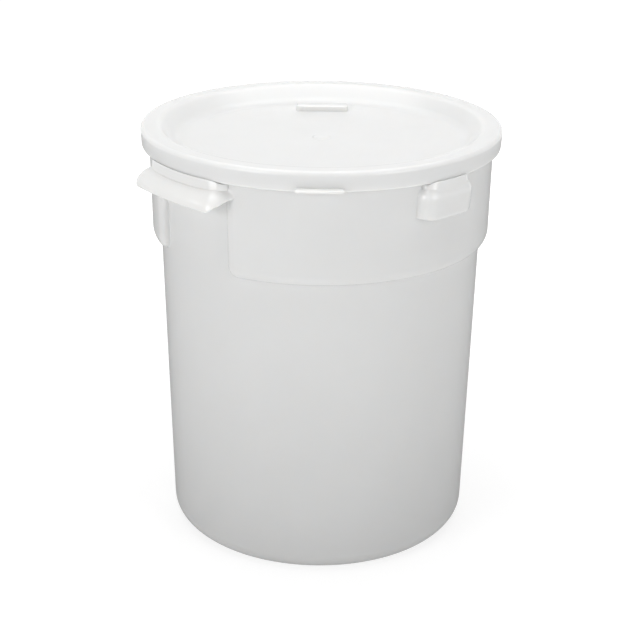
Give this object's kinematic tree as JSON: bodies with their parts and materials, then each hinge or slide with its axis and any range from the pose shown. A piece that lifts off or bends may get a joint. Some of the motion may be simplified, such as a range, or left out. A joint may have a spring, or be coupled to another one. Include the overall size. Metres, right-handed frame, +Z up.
{
  "type": "round food storage container",
  "caption": "Tall round food storage container with a stepped band under the rim, hooded grip handles and a dished press-on lid that lifts off.",
  "frame": {"origin": "centre of the base, on the surface that the container stands on", "axes": "+Z up along the container's axis, +X and -X out through the two grip handles, +Y and -Y out through the two small lugs"},
  "size_m": [0.3672, 0.3538, 0.4073],
  "materials": {
    "container_plastic": "semi-gloss natural white moulded polyethylene",
    "lid_plastic": "semi-gloss white moulded polyethylene"
  },
  "bodies": {
    "container_body": {"container": "container_plastic"},
    "lid_body": {"lid": "lid_plastic"}
  },
  "joints": [
    {"name": "lid_lift", "type": "slide", "parent": "container_body", "child": "lid_body", "axis": [0, 0, 1], "range_m": [0, 0.12]}
  ]
}
